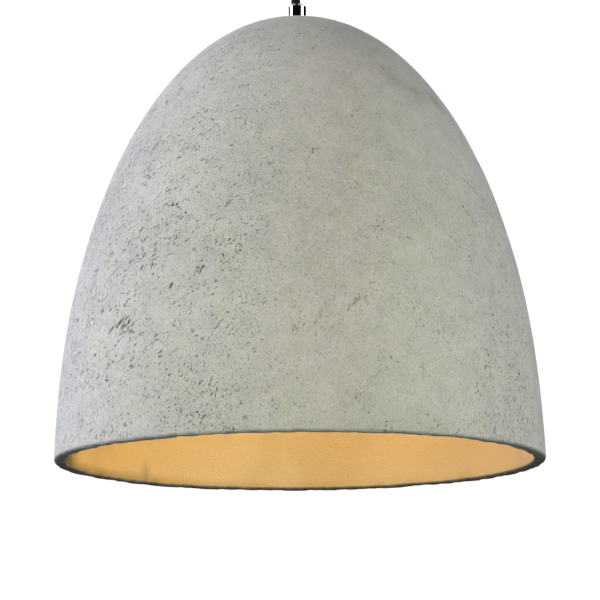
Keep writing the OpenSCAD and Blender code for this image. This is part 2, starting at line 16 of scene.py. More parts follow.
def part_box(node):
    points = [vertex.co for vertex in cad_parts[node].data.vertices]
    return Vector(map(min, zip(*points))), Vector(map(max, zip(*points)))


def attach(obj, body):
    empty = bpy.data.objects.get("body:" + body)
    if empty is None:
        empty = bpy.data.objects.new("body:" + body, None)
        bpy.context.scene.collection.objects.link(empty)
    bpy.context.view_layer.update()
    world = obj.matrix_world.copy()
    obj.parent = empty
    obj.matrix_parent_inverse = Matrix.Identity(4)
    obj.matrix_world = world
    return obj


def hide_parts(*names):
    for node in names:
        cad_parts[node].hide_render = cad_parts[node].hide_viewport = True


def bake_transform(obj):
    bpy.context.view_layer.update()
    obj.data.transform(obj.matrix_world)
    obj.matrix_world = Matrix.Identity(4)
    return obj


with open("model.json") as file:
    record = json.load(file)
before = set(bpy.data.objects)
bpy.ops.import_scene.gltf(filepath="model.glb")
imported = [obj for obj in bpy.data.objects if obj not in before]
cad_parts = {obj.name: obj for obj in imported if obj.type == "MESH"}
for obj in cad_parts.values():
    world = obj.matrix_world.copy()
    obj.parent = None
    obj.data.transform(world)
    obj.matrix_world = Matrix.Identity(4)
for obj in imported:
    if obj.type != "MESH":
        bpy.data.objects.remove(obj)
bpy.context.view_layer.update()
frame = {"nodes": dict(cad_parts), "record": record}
MM = 0.001

# ---- sizes taken from the frame ----

RIM_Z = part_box("shade")[0].z
CROWN_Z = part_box("shade")[1].z
SHADE_HEIGHT = CROWN_Z - RIM_Z
GRIP_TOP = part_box("cord_grip")[1].z


# ---- node trees ----

class Nodes:
    """A node tree in the making: each call adds a node and returns its output."""

    def __init__(self, tree):
        self.tree = tree

    def put(self, socket, value):
        """Sets a socket to a value, or joins it to another node's output."""
        if isinstance(value, bpy.types.NodeSocket):
            self.tree.links.new(value, socket)
        elif socket.type == "RGBA":
            socket.default_value = (*value, 1)
        else:
            socket.default_value = value

    def node(self, kind, inputs, **settings):
        """A node with its settings and its inputs, which are given by name or by number."""
        made = self.tree.nodes.new(kind)
        for name, value in settings.items():
            setattr(made, name, value)
        for name, value in inputs.items():
            self.put(made.inputs[name], value)
        return made

    def where(self):
        """The point's place in the frame at rest."""
        return self.node("ShaderNodeTexCoord", {}).outputs["Object"]

    def stored(self, name, output="Fac"):
        """A value stored on the mesh."""
        return self.node("ShaderNodeAttribute", {}, attribute_name=name).outputs[output]

    def placed(self, vector, scale=(1, 1, 1), turn=(0, 0, 0)):
        """Coordinates turned by degrees, and then scaled along each axis."""
        turned_by = [math.radians(a) for a in turn]
        spun = self.node("ShaderNodeMapping", {"Vector": vector, "Rotation": turned_by})
        return self.node("ShaderNodeMapping", {"Vector": spun.outputs[0], "Scale": scale}).outputs[0]

    def noise(self, vector, scale, detail=3.0, roughness=0.5):
        inputs = {"Vector": vector, "Scale": scale, "Detail": detail, "Roughness": roughness}
        return self.node("ShaderNodeTexNoise", inputs).outputs[0]

    def span(self, value, low, high, to_low=0.0, to_high=1.0):
        """The value's share of the way from low to high, eased at both ends."""
        inputs = {"Value": value, "From Min": low, "From Max": high, "To Min": to_low, "To Max": to_high}
        return self.node("ShaderNodeMapRange", inputs, interpolation_type="SMOOTHSTEP").outputs[0]

    def math(self, operation, *values):
        return self.node("ShaderNodeMath", dict(enumerate(values)), operation=operation).outputs[0]

    def times(self, a, b):
        return self.math("MULTIPLY", a, b)

    def weighted(self, a, weight, b):
        """The first value times its weight, plus the second."""
        return self.math("MULTIPLY_ADD", a, weight, b)

    def vector_math(self, operation, inputs):
        return self.node("ShaderNodeVectorMath", inputs, operation=operation).outputs[0]

    def ramp(self, value, stops):
        """Colours along a value, from stops of a position and a colour."""
        made = self.node("ShaderNodeValToRGB", {"Fac": value})
        elements = made.color_ramp.elements
        while len(elements) < len(stops):
            elements.new(0.5)
        for element, (position, colour) in zip(elements, stops):
            element.position = position
            element.color = (*colour, 1)
        return made.outputs[0]

    def blend(self, share, a, b, how="MIX"):
        """Two colours mixed: all of the first where the share is 0."""
        inputs = {0: share, 6: a, 7: b}
        return self.node("ShaderNodeMix", inputs, data_type="RGBA", blend_type=how).outputs[2]

    def bump(self, height, distance, strength=1.0):
        inputs = {"Height": height, "Distance": distance, "Strength": strength}
        return self.node("ShaderNodeBump", inputs).outputs[0]


class Surface(Nodes):
    """A material in the making."""

    def __init__(self, name):
        self.material = bpy.data.materials.new(name)
        self.material.use_nodes = True
        super().__init__(self.material.node_tree)

    def finish(self, **inputs):
        """Sets the shader's inputs and returns the material."""
        shader = self.tree.nodes["Principled BSDF"]
        for name, value in inputs.items():
            self.put(shader.inputs[name.replace("_", " ")], value)
        return self.material


# ---- mesh helpers ----

def new_piece(name, vertices, faces):
    mesh = bpy.data.meshes.new(name)
    mesh.from_pydata(vertices, [], faces)
    mesh.validate()
    mesh.shade_smooth()
    return in_scene(name, mesh)


def in_scene(name, data):
    """A new object in the scene, from a mesh, a lamp or a camera."""
    made = bpy.data.objects.new(name, data)
    bpy.context.scene.collection.objects.link(made)
    return made


def store(piece, name, values, kind="FLOAT"):
    """Keeps a value for each vertex on the mesh, for its material to read."""
    attribute = piece.data.attributes.new(name, kind, "POINT")
    key = "vector" if kind == "FLOAT_VECTOR" else "value"
    attribute.data.foreach_set(key, np.asarray(values, np.float32).ravel())


def closed_rings(count, around):
    """The faces between rings of points, the last ring joined to the first."""
    faces = []
    for i in range(count):
        j = (i + 1) % count
        for k in range(around):
            n = (k + 1) % around
            faces.append((i * around + k, j * around + k, j * around + n, i * around + n))
    return faces


def noisy(place, scale, shift=(0, 0, 0)):
    """Noise at each point, from about -1 to 1."""
    return np.array([noise.noise(Vector(p) * scale + Vector(shift)) for p in place])


# ---- camera, light and floor ----

# the photograph's viewpoint, in metres and degrees, and its lens, in mm
CAMERA_DISTANCE = 2.981
CAMERA_BELOW_RIM = 0.3654
CAMERA_SIDE = 0.0008
CAMERA_PITCH = 9.515
CAMERA_ROLL = -0.35
CAMERA_LENS = 221.3
CAMERA_SENSOR = 36


def make_camera():
    camera = in_scene("camera", bpy.data.cameras.new("camera"))
    camera.data.lens = CAMERA_LENS
    camera.data.sensor_width = CAMERA_SENSOR
    camera.location = (CAMERA_SIDE, -CAMERA_DISTANCE, RIM_Z - CAMERA_BELOW_RIM)
    upright = Matrix.Rotation(math.radians(90 + CAMERA_PITCH), 4, "X")
    rolled = Matrix.Rotation(math.radians(CAMERA_ROLL), 4, "Z")
    camera.rotation_euler = (upright @ rolled).to_euler()
    bpy.context.scene.camera = camera
    bpy.context.scene.view_settings.view_transform = "Standard"


# the studio's softboxes: azimuth in degrees from the camera's side, + to the right as the camera
# sees it, elevation, watts, colour, and whether polished metal shows the box
SOFTBOX_DISTANCE = 3.0
SOFTBOX_SIZE = 1.6
SOFTBOXES = {
    "left": (-85, 13, 64, (0.92, 0.99, 1.02), True),
    "left_front": (-50, 12, 35, (1.0, 0.87, 0.96), False),
    "left_back_high": (-120, 55, 35, (0.95, 0.97, 0.98), False),
    "left_back_low": (-120, -18, 34, (0.76, 0.82, 1.02), False),
    "front_low": (8, -14, 54, (0.96, 1.0, 0.66), False),
    "right": (68, 12, 37, (1.0, 0.88, 0.93), True),
    "right_low": (95, -12, 33, (0.8, 1.0, 0.92), False),
    "back": (180, 25, 60, (0.97, 0.98, 1.0), True),
}


def make_softboxes():
    middle = Vector((0, 0, (RIM_Z + CROWN_Z) / 2))
    for name, (azimuth, elevation, power, colour, polished) in SOFTBOXES.items():
        lamp = bpy.data.lights.new("softbox_" + name, "AREA")
        lamp.shape = "SQUARE"
        lamp.size = SOFTBOX_SIZE
        lamp.energy = power
        lamp.color = colour
        box = in_scene("softbox_" + name, lamp)
        a = math.radians(azimuth)
        e = math.radians(elevation)
        out = Vector((math.sin(a) * math.cos(e), -math.cos(a) * math.cos(e), math.sin(e)))
        box.location = middle + SOFTBOX_DISTANCE * out
        box.rotation_euler = (middle - box.location).to_track_quat("-Z", "Y").to_euler()
        box.visible_camera = False
        box.visible_glossy = polished


# the studio as the camera sees it, as dull surfaces do, and as polished metal does: dark below
# and level, pale overhead
STUDIO_WHITE = (1.05, 1.05, 1.05)
STUDIO_DIM = (0.03, 0.031, 0.035)
STUDIO_REFLECTED = [(0.38, (0.004, 0.004, 0.0045)), (0.75, (0.5, 0.5, 0.52))]


def make_world():
    """White behind the object, and a dim studio for the light that falls on it."""
    world = bpy.data.worlds.new("studio")
    bpy.context.scene.world = world
    world.use_nodes = True
    s = Nodes(world.node_tree)
    ray = s.node("ShaderNodeLightPath", {}).outputs
    toward = s.node("ShaderNodeTexCoord", {}).outputs["Generated"]
    upward = s.node("ShaderNodeSeparateXYZ", {"Vector": toward}).outputs["Z"]
    falling = s.blend(ray["Is Glossy Ray"], STUDIO_DIM, s.ramp(upward, STUDIO_REFLECTED))
    seen = s.blend(ray["Is Camera Ray"], falling, STUDIO_WHITE)
    s.put(world.node_tree.nodes["Background"].inputs["Color"], seen)


FLOOR_LEVEL = -6.2
FLOOR_HALF = 60
FLOOR_CORNERS = ((-1, -1), (1, -1), (1, 1), (-1, 1))
FLOOR_TONES = [(0.3, (0.855, 0.855, 0.85)), (0.7, (0.87, 0.87, 0.865))]
FLOOR_GLOW = 0.97


def make_floor():
    """A pale floor, low enough that no view of the hanging light is from under it."""
    corners = [(x * FLOOR_HALF, y * FLOOR_HALF, FLOOR_LEVEL) for x, y in FLOOR_CORNERS]
    floor = new_piece("floor", corners, [(0, 1, 2, 3)])
    s = Surface("floor")
    pale = s.ramp(s.noise(s.where(), 0.05, detail=2), FLOOR_TONES)
    s.finish(Base_Color=pale, Roughness=0.9, Emission_Color=pale, Emission_Strength=FLOOR_GLOW)
    s.material.cycles.emission_sampling = "NONE"
    floor.data.materials.append(s.material)
    floor.visible_diffuse = False


# ---- concrete ----

def turn_upright(run):
    """The turn, in degrees, that stands a direction upright."""
    turn = Vector(run).rotation_difference(Vector((0, 0, 1)))
    return [math.degrees(a) for a in turn.to_euler()]


# the ways that the trowel's dashes, the mould's faint combing and the short nicks run
DASH_TURN = turn_upright((0.44, -0.58, 0.68))
COMB_TURN = turn_upright((-0.62, 0.45, 0.64))
STEEP_TURN = turn_upright((-0.1, -0.1, 1))

# the casting's smoothest upright line, as X in metres, and how strong its marks are there
SMOOTHEST_X = 0.06
SMOOTH_SHARE = 0.32

GREYS = [(0.29, (0.365, 0.366, 0.363)), (0.38, (0.468, 0.47, 0.466)), (0.47, (0.553, 0.555, 0.552))]
COOL_TINT = (1.005, 0.997, 1.018)
WARM_TINT = (0.99, 1.0, 0.96)
# the next three colours are painted shade in the dents of the specks, nicks and dashes
SPECK_SHADE = (0.2, 0.195, 0.18)
NICK_SHADE = (0.105, 0.112, 0.1)
DASH_SHADE = (0.08, 0.085, 0.075)
SCRATCH = (0.09, 0.085, 0.08)
# painted shade in the gouges' hollows
PIT_SHADE = (0.05, 0.048, 0.042)
SMUDGE = (0.16, 0.16, 0.15)
SEALER = (0.455, 0.43, 0.315)
# painted warm light down the lining's left side
WARM_LIGHT_TINT = (0.45, 0.36, 0.17)
SMOKE = (0.27, 0.21, 0.12)
STAIN = (0.19, 0.2, 0.165)
# painted shade under the rim, with some grime in it
SOOT_AND_SHADE = (0.037, 0.033, 0.019)


def warped(s, vector, scale, reach):
    """Coordinates pushed about by noise, which makes edges ragged."""
    cloud = s.node("ShaderNodeTexNoise", {"Vector": vector, "Scale": scale, "Detail": 2.0})
    push = s.vector_math("SUBTRACT", {0: cloud.outputs["Color"], 1: (0.5, 0.5, 0.5)})
    push = s.vector_math("SCALE", {0: push, "Scale": reach})
    return s.vector_math("ADD", {0: vector, 1: push})


def crowding(s, here, rough_side):
    """Where the dashes crowd together: in patches, and in thin curved chains."""
    patches = s.span(s.noise(here, 21.0, detail=3, roughness=0.6), 0.44, 0.62)
    crossing = s.noise(s.placed(here, scale=(1, 1, 0.7), turn=DASH_TURN), 62.0, detail=2)
    chains = s.span(s.math("ABSOLUTE", s.math("SUBTRACT", crossing, 0.5)), 0.05, 0.012)
    both = s.math("MAXIMUM", s.times(patches, 0.8), s.times(chains, 0.95))
    return s.times(both, s.span(rough_side, SMOOTH_SHARE, 1.0, 0.75, 1.0))


def trowel_marks(s, here, ragged, crowd, outside):
    """The outside's dashes, steeper nicks, fine specks and long scratches, each from 0 to 1."""

    def where_over(cloud, pull, level, edge):
        """Where the cloud is over a level that falls where the marks crowd."""
        over = s.math("SUBTRACT", cloud, s.weighted(crowd, -pull, level))
        return s.times(s.span(over, 0.0, edge), outside)

    leaning = s.placed(ragged, scale=(1, 1, 0.27), turn=DASH_TURN)
    steeper = s.placed(ragged, scale=(1, 1, 0.5), turn=STEEP_TURN)
    drawn_out = s.placed(warped(s, here, 30.0, 0.004), scale=(1, 1, 0.035), turn=DASH_TURN)
    dashes = where_over(s.noise(leaning, 520.0, detail=1.5, roughness=0.55), 0.11, 0.73, 0.05)
    nicks = where_over(s.noise(steeper, 620.0, detail=1.5), 0.08, 0.69, 0.06)
    specks = s.times(s.span(s.noise(leaning, 820.0, detail=2, roughness=0.6), 0.55, 0.68), outside)
    scratches = s.times(s.span(s.noise(drawn_out, 760.0, detail=1), 0.70, 0.76), outside)
    return dashes, nicks, specks, scratches


def casting_grey(s, here, mid, fine):
    """The bare cement: clouds, sand and a faint combing, with cooler and warmer patches."""
    big = s.noise(here, 9.0, detail=3, roughness=0.55)
    combed = s.noise(s.placed(here, scale=(1, 1, 0.06), turn=COMB_TURN), 620.0, detail=2)
    grain = s.weighted(fine, 0.4, s.times(combed, 0.06))
    tone = s.math("ADD", s.weighted(big, 0.12, s.times(mid, 0.18)), grain)
    grey = s.ramp(tone, GREYS)
    cool = s.span(s.noise(here, 42.0, detail=2), 0.52, 0.60)
    warm = s.span(s.noise(s.placed(here, turn=(40, 20, 70)), 36.0, detail=2), 0.52, 0.60)
    for patch, tint in ((cool, COOL_TINT), (warm, WARM_TINT)):
        grey = s.blend(patch, grey, s.blend(1.0, grey, tint, "MULTIPLY"))
    return grey


def concrete():
    """Cast concrete, full of thin ragged dashes that lean as a trowel leaves them."""
    s = Surface("concrete")
    here = s.stored("skin", "Vector")
    lining = s.stored("lining")
    outside = s.math("SUBTRACT", 1.0, lining)
    across = s.node("ShaderNodeSeparateXYZ", {"Vector": here}).outputs["X"]
    from_smooth = s.math("ABSOLUTE", s.math("SUBTRACT", across, SMOOTHEST_X))
    rough_side = s.span(from_smooth, 0.03, 0.14, SMOOTH_SHARE, 1.0)
    ragged = warped(s, here, 430.0, 0.003)
    mid = s.noise(here, 70.0, detail=4, roughness=0.65)
    fine = s.noise(here, 700.0, detail=3, roughness=0.8)
    crowd = crowding(s, here, rough_side)
    dashes, nicks, specks, scratches = trowel_marks(s, here, ragged, crowd, outside)

    cloud = s.noise(s.placed(ragged, scale=(1, 1, 0.6), turn=DASH_TURN), 105.0, detail=4, roughness=0.75)
    smudges = s.times(outside, s.span(rough_side, SMOOTH_SHARE, 1, 0.42, 0.25))
    blotches = s.span(s.noise(here, 13.0, detail=2, roughness=0.5), 0.48, 0.68)
    tone = casting_grey(s, here, mid, fine)
    # each layer covers those before it
    layers = [
        # the next three layers are painted shade in the dents of the specks, nicks and dashes
        (s.times(specks, 0.13), SPECK_SHADE),
        (s.times(nicks, s.times(rough_side, 0.34)), NICK_SHADE),
        (s.times(dashes, s.times(rough_side, 0.66)), DASH_SHADE),
        (s.times(scratches, 0.25), SCRATCH),
        # painted shade in the gouges' hollows
        (s.times(s.stored("pit_shade"), 0.85), PIT_SHADE),
        (s.times(s.span(cloud, 0.6, 0.74), smudges), SMUDGE),
        (s.times(lining, 0.75), SEALER),
        # painted warm light down the lining's left side
        (s.times(s.stored("warm_light_tint"), s.span(mid, 0.3, 0.6, 0.65, 0.85)), WARM_LIGHT_TINT),
        (s.times(blotches, s.times(lining, 0.2)), SMOKE),
        (s.times(s.stored("stain"), s.span(mid, 0.3, 0.6, 0.35, 0.8)), STAIN),
        # painted shade under the rim, with some grime in it
        (s.times(s.stored("under"), s.span(mid, 0.3, 0.65, 0.97, 0.8)), SOOT_AND_SHADE),
    ]
    for share, colour in layers:
        tone = s.blend(share, tone, colour)

    dents = s.weighted(nicks, 0.6, s.weighted(specks, 0.2, dashes))
    dents = s.times(dents, s.span(rough_side, SMOOTH_SHARE, 1.0, 0.4, 1.0))
    height = s.math("SUBTRACT", s.weighted(fine, 0.5, s.times(mid, 0.3)), dents)
    return s.finish(Base_Color=tone, Roughness=s.span(fine, 0.3, 0.7, 0.84, 0.96),
                    Specular_IOR_Level=0.1, Normal=s.bump(height, 1.1 * MM))


# ---- other materials ----

def plain_metal(name, tone, rough):
    """Metal with fine hairlines round Z and a slightly uneven polish."""
    s = Surface(name)
    cloud = s.noise(s.where(), 160.0, detail=3)
    lines = s.noise(s.placed(s.where(), scale=(60, 60, 2600)), 1.0, detail=2)
    dim = tuple(0.86 * c for c in tone)
    polish = s.weighted(lines, 0.5, s.times(cloud, 0.5))
    return s.finish(Base_Color=s.ramp(cloud, [(0.35, dim), (0.62, tone)]), Metallic=1.0,
                    Roughness=s.span(polish, 0.3, 0.7, rough * 0.7, rough * 1.3),
                    Normal=s.bump(lines, 0.02 * MM, 0.4))


def plain_moulded(name, tone, rough):
    """Moulded plastic, rubber or enamel: a fine grain and a slightly uneven tone."""
    s = Surface(name)
    cloud = s.noise(s.where(), 90.0, detail=3)
    grain = s.noise(s.where(), 2400.0, detail=2)
    dim = tuple(0.93 * c for c in tone)
    return s.finish(Base_Color=s.ramp(cloud, [(0.35, dim), (0.65, tone)]),
                    Roughness=s.span(grain, 0.3, 0.7, rough * 0.85, rough * 1.15),
                    Normal=s.bump(grain, 0.03 * MM, 0.5))


def braid():
    """Black textile, darkened between its strands by painted shade, with a little fuzz."""
    s = Surface("black_braid")
    fuzz = s.noise(s.placed(s.where(), scale=(1, 1, 0.5)), 3200.0, detail=2)
    # painted shade: the thread is darkest between its strands, where it lies low
    proud = s.span(s.stored("strand"), 0.45, 1.0)
    thread = s.blend(proud, (0.0015, 0.0015, 0.0018), (0.014, 0.014, 0.015))
    fuzzy = s.blend(s.span(fuzz, 0.5, 0.8, 0.0, 0.4), thread, (0.02, 0.02, 0.021))
    return s.finish(Base_Color=fuzzy, Roughness=0.72, Specular_IOR_Level=0.2,
                    Normal=s.bump(fuzz, 0.06 * MM, 0.6))


def opal():
    """The lit dome's plastic. It looks bright, and the lamp inside gives the light."""
    s = Surface("opal_dome")
    haze = s.noise(s.where(), 60.0, detail=2)
    s.finish(Base_Color=s.ramp(haze, [(0.3, (0.9, 0.86, 0.78)), (0.7, (0.95, 0.92, 0.85))]),
             Emission_Color=s.ramp(haze, [(0.3, (1.0, 0.7, 0.36)), (0.7, (1.0, 0.74, 0.4))]),
             Roughness=0.3, Emission_Strength=1.7)
    s.material.cycles.emission_sampling = "NONE"
    return s.material


# colour and roughness
METALS = {
    "chrome": ((0.82, 0.83, 0.85), 0.06),
    "zinc_steel": ((0.62, 0.63, 0.64), 0.3),
    "brass": ((0.78, 0.6, 0.28), 0.25),
    "nickel": ((0.7, 0.69, 0.66), 0.22),
}
MOULDED = {
    "black_rubber": ((0.03, 0.03, 0.03), 0.7),
    "black_plastic": ((0.02, 0.02, 0.022), 0.4),
    "ivory_nylon": ((0.85, 0.83, 0.76), 0.5),
    "black_enamel": ((0.02, 0.02, 0.022), 0.25),
    "porcelain": ((0.86, 0.85, 0.82), 0.2),
    "brown_insulation": ((0.2, 0.07, 0.025), 0.45),
    "blue_insulation": ((0.02, 0.1, 0.45), 0.45),
    "earth_insulation": ((0.45, 0.6, 0.03), 0.45),
    "black_glass": ((0.02, 0.02, 0.03), 0.12),
    "white_housing": ((0.8, 0.8, 0.78), 0.4),
    "led_board": ((0.8, 0.8, 0.78), 0.5),
    "led_phosphor": ((0.8, 0.6, 0.1), 0.4),
    "driver_board": ((0.02, 0.2, 0.1), 0.4),
}


def make_finishes():
    """A finish for each material slot of the record."""
    made = {name: plain_metal(name, tone, rough) for name, (tone, rough) in METALS.items()}
    made.update({name: plain_moulded(name, tone, rough) for name, (tone, rough) in MOULDED.items()})
    made.update({"opal_dome": opal(), "black_braid": braid(), "concrete": concrete()})
    return made


# ---- the flex ----

CORD_DIAMETER = 7.5 * MM
PIVOT_Z = -28 * MM
# the flex's X, in mm, and its share of the way from the pivot down to the grip's mouth; then,
# inside the grip, its X and its height above the crown, in mm
FREE_ROUTE = [
    (0, 0), (0, 0.06), (0, 0.12), (-0.05, 0.2), (-0.15, 0.3), (-0.3, 0.4), (-0.45, 0.5),
    (-0.65, 0.6), (-0.85, 0.7), (-1, 0.8), (-1.15, 0.9), (-1.2, 1)]
GRIP_ROUTE = [(-1.1, 10), (-0.75, 6.5), (-0.38, 3.5), (-0.12, 1), (0, -2), (0, -7), (0, -12)]
BRAID_PITCH = 24 * MM
BRAID_CARRIERS = 8
BRAID_AROUND = 64
BRAID_RELIEF = 0.16 * MM
BRAID_SPACING = 0.26 * MM
# the rings of its rounded upper end, in degrees
ROUNDED_END = (74, 58, 40, 20)


def cord_route():
    """The flex's centreline from the pivot down to the grip's mouth, and on down the grip."""
    free = [Vector((x * MM, 0, PIVOT_Z + (GRIP_TOP - PIVOT_Z) * share)) for x, share in FREE_ROUTE]
    held = [Vector((x * MM, 0, CROWN_Z + z * MM)) for x, z in GRIP_ROUTE]
    return free, held


def smooth_line(points, spacing):
    """Points evenly spaced along a smooth curve through the route's points."""
    padded = [2 * points[0] - points[1], *points, 2 * points[-1] - points[-2]]
    line = []
    for a, b, c, d in zip(padded, padded[1:], padded[2:], padded[3:]):
        steps = max(2, round((c - b).length / spacing))
        for i in range(steps):
            t = i / steps
            line.append(0.5 * (2 * b + (c - a) * t + (2 * a - 5 * b + 4 * c - d) * t * t
                               + (3 * b - a - 3 * c + d) * t ** 3))
    line.append(points[-1])
    return line


def strand_height(angle, turn):
    """How proud the braid stands at an angle round the flex, from 0 to 1. Two families of
    strands, wound opposite ways, pass over and under."""
    one = BRAID_CARRIERS * (angle + turn) / 2
    two = BRAID_CARRIERS * (angle - turn) / 2
    over = 0.5 + 0.5 * math.sin(one) * math.sin(two)
    a = abs(math.cos(one)) ** 0.6
    b = abs(math.cos(two)) ** 0.6
    return max(a * (0.35 + 0.65 * over), b * (1.0 - 0.65 * over))


def braided(rings):
    """The braid's points and how proud each is, round rings of a centre and a share of its radius."""
    radius = CORD_DIAMETER / 2
    side = Vector((0, 1, 0))
    vertices = []
    strand = []
    travelled = 0.0
    for i, (point, share) in enumerate(rings):
        if i:
            travelled += (point - rings[i - 1][0]).length
        ahead = rings[min(i + 1, len(rings) - 1)][0] - rings[max(i - 1, 0)][0]
        other = ahead.normalized().cross(side)
        turn = 2 * math.pi * travelled / BRAID_PITCH
        for k in range(BRAID_AROUND):
            angle = 2 * math.pi * k / BRAID_AROUND
            raised = strand_height(angle, turn)
            r = (radius - BRAID_RELIEF + BRAID_RELIEF * raised) * share
            vertices.append(point + r * (math.cos(angle) * other + math.sin(angle) * side))
            strand.append(raised)
    return vertices, strand


def make_cord():
    """The flex in its braided sleeve, rounded off at its upper end inside the outlet."""
    free, held = cord_route()
    line = smooth_line(free + held, BRAID_SPACING)
    rings = []
    for degrees in ROUNDED_END:
        a = math.radians(degrees)
        rings.append((line[0] + Vector((0, 0, CORD_DIAMETER / 2 * math.sin(a))), math.cos(a)))
    rings += [(point, 1.0) for point in line]
    vertices, strand = braided(rings)
    faces = []
    for i in range(len(rings) - 1):
        for k in range(BRAID_AROUND):
            a = i * BRAID_AROUND + k
            b = i * BRAID_AROUND + (k + 1) % BRAID_AROUND
            faces.append((a, b, b + BRAID_AROUND, a + BRAID_AROUND))
    faces.append(tuple(range(BRAID_AROUND)))
    faces.append(tuple(reversed(range(len(vertices) - BRAID_AROUND, len(vertices)))))
    cord = new_piece("flex", vertices, faces)
    store(cord, "strand", strand)
    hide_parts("cord")
    return cord


# ---- the shade's outline, by the rule of the CAD ----

RIM_FLARE = 1.3 * MM
FLARE_HEIGHT = 54 * MM
RIM_WALL = 10 * MM
CROWN_WALL = 14 * MM
ROUND_POWER = 2.1
RISE_POWER = 1.91
BODY_RADIUS = 198.7 * MM
LINING_HEIGHT = SHADE_HEIGHT - CROWN_WALL + 2.6 * MM
LINING_RADIUS = BODY_RADIUS - RIM_WALL + RIM_FLARE
HOLE_RADIUS = 5.5 * MM
SEAT_RADIUS = 24 * MM
EDGE_RADIUS = 2.5 * MM
OUTLINE_STEPS = 160
CORNER_STEPS = 12

# the spacing of the mesh's rings, and how many points each has
FACE_SIZE = 4.4 * MM
UNDER_SPACING = 0.9 * MM
LINING_SPACING = 7 * MM
HOLE_SPACING = 3.5 * MM
SHADE_AROUND = 288


def bell_outline(radius, height, low, end_radius, flare):
    """Points from the edge at the rim up to the crown, as (radius, height above the rim)."""
    first = math.asin((low / height) ** (RISE_POWER / 2))
    last = math.acos((end_radius / radius) ** (ROUND_POWER / 2))
    points = []
    for i in range(OUTLINE_STEPS + 1):
        t = first + (last - first) * i / OUTLINE_STEPS
        z = height * math.sin(t) ** (2 / RISE_POWER)
        r = radius * math.cos(t) ** (2 / ROUND_POWER) + flare * max(0, 1 - z / FLARE_HEIGHT) ** 2
        points.append((r, z))
    return points


def corner(x, start, end):
    """A rounded corner of the rim, from one angle in degrees to another."""
    turns = [math.radians(start + (end - start) * i / CORNER_STEPS) for i in range(CORNER_STEPS + 1)]
    return [(x + EDGE_RADIUS * math.cos(a), EDGE_RADIUS + EDGE_RADIUS * math.sin(a)) for a in turns]


def evenly(points, spacing):
    """The same line with evenly spaced points, its last one left out."""
    line = np.array(points)
    gaps = np.hypot(*np.diff(line, axis=0).T)
    run = np.concatenate([[0], np.cumsum(gaps)])
    count = max(2, round(run[-1] / spacing))
    at = np.linspace(0, run[-1], count + 1)[:-1]
    return list(zip(np.interp(at, run, line[:, 0]), np.interp(at, run, line[:, 1])))


def shade_outline():
    """The wall's whole outline from the crown down, under the rim and up the lining, as
    (radius, height above the rim, 1 on the lining and in the hole)."""
    outer = bell_outline(BODY_RADIUS, SHADE_HEIGHT, EDGE_RADIUS, 9 * MM, RIM_FLARE)
    inner = bell_outline(LINING_RADIUS, LINING_HEIGHT, EDGE_RADIUS, SEAT_RADIUS, 0)
    top = SHADE_HEIGHT
    seat = SHADE_HEIGHT - CROWN_WALL
    outside = [(HOLE_RADIUS, top), *reversed(outer)]
    under = corner(outer[0][0] - EDGE_RADIUS, 0, -90) + corner(inner[0][0] + EDGE_RADIUS, -90, -180)
    inside = [*inner, (SEAT_RADIUS, seat), (HOLE_RADIUS, seat)]
    hole = [(HOLE_RADIUS, seat), (HOLE_RADIUS, top)]
    parts = [(outside, FACE_SIZE, 0), (under, UNDER_SPACING, 0),
             (inside, LINING_SPACING, 1), (hole, HOLE_SPACING, 1)]
    return [(r, z, lining) for line, spacing, lining in parts for r, z in evenly(line, spacing)]


OUTER_LINE = np.array(sorted((z, r) for r, z in bell_outline(
    BODY_RADIUS, SHADE_HEIGHT, 0.2 * MM, 5 * MM, RIM_FLARE)))


def surface_radius(height):
    """The outer face's radius at a height above the rim."""
    return float(np.interp(height, OUTER_LINE[:, 0], OUTER_LINE[:, 1]))


# ---- marks in the shade's face ----
# An azimuth is in degrees from the front, + to the right as seen from there, a height is above
# the rim in mm, a lean is in degrees from level, and a mark's sizes are in mm. The last whole
# number of each row and knot is the seed that scatters it.

def outward(azimuth):
    angle = math.radians(azimuth)
    return Vector((math.sin(angle), -math.cos(angle), 0))


def on_face(azimuth, height):
    return outward(azimuth) * surface_radius(height * MM) + Vector((0, 0, RIM_Z + height * MM))


class Gouge:
    """A long pit in the shade's face."""

    def __init__(self, azimuth, height, length, width, lean, depth):
        out = outward(azimuth)
        self.centre = on_face(azimuth, height)
        slope = (surface_radius(height * MM + MM) - surface_radius(height * MM)) / MM
        up = (out * slope + Vector((0, 0, 1))).normalized()
        around = Vector((-out.y, out.x, 0))
        lean = math.radians(lean)
        self.along = math.cos(lean) * around + math.sin(lean) * up
        self.across = -math.sin(lean) * around + math.cos(lean) * up
        self.half_length = length * MM / 2
        self.half_width = width * MM / 2
        self.depth = depth * MM


def row(azimuth, height, to_azimuth, to_height, count, length, width, lean, depth, seed, spread=1.6):
    """A row of gouges from one place on the shade to another, each a little off the line."""
    rng = random.Random(seed)
    made = []
    for i in range(count):
        share = (i + 0.5) / count
        made.append(Gouge(azimuth + (to_azimuth - azimuth) * share + rng.gauss(0, 0.22 * spread),
                          height + (to_height - height) * share + rng.gauss(0, 0.6 * spread),
                          length * rng.uniform(0.6, 1.3), width * rng.uniform(0.75, 1.25),
                          lean + rng.gauss(0, 9), depth * rng.uniform(0.6, 1.2)))
    return made


def knot(azimuth, height, reach, count, lean, seed, length=3.4, width=1.4, depth=0.6):
    """A knot of small gouges within reach, in mm, of a place on the shade."""
    rng = random.Random(seed)
    around = math.degrees(reach * MM / surface_radius(height * MM))
    return [Gouge(azimuth + rng.gauss(0, around / 2), height + rng.gauss(0, reach / 2),
                  length * rng.uniform(0.5, 1.5), width * rng.uniform(0.7, 1.3), lean + rng.gauss(0, 22),
                  depth * rng.uniform(0.6, 1.3)) for _ in range(count)]


